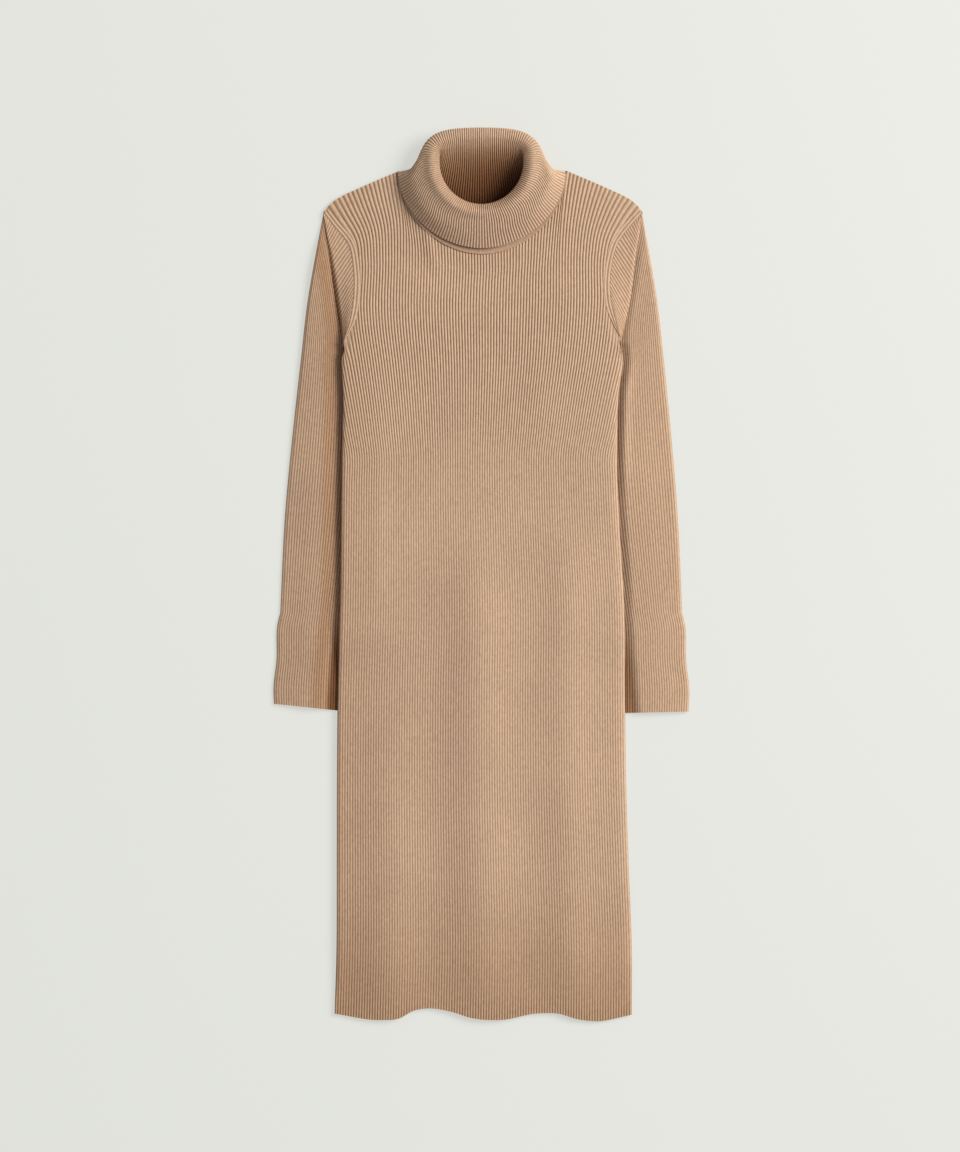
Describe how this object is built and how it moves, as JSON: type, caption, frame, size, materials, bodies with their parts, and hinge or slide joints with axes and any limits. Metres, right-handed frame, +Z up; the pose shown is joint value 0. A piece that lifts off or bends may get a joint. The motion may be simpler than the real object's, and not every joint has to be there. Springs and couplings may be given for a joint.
{
  "type": "sweater dress",
  "caption": "Knee-length rib-knit sweater dress with a rolled collar, set-in sleeves and cuffs, laid flat on its back.",
  "frame": {"origin": "on the surface that the dress lies on, under the middle of its bounding box", "axes": "+X towards the wearer's left sleeve, +Y along the dress towards the neck, +Z up from the surface"},
  "size_m": [0.5198, 1.115, 0.0499],
  "materials": {
    "rib_knit": "matt heathered camel rib knit",
    "plain_knit": "matt heathered camel plain knit"
  },
  "bodies": {
    "root": {"front": "rib_knit", "back": "rib_knit", "sleeve_left": "rib_knit", "sleeve_right": "rib_knit", "cuff_left": "rib_knit", "cuff_right": "rib_knit", "collar": "rib_knit", "neck_strip": "plain_knit"}
  },
  "joints": []
}
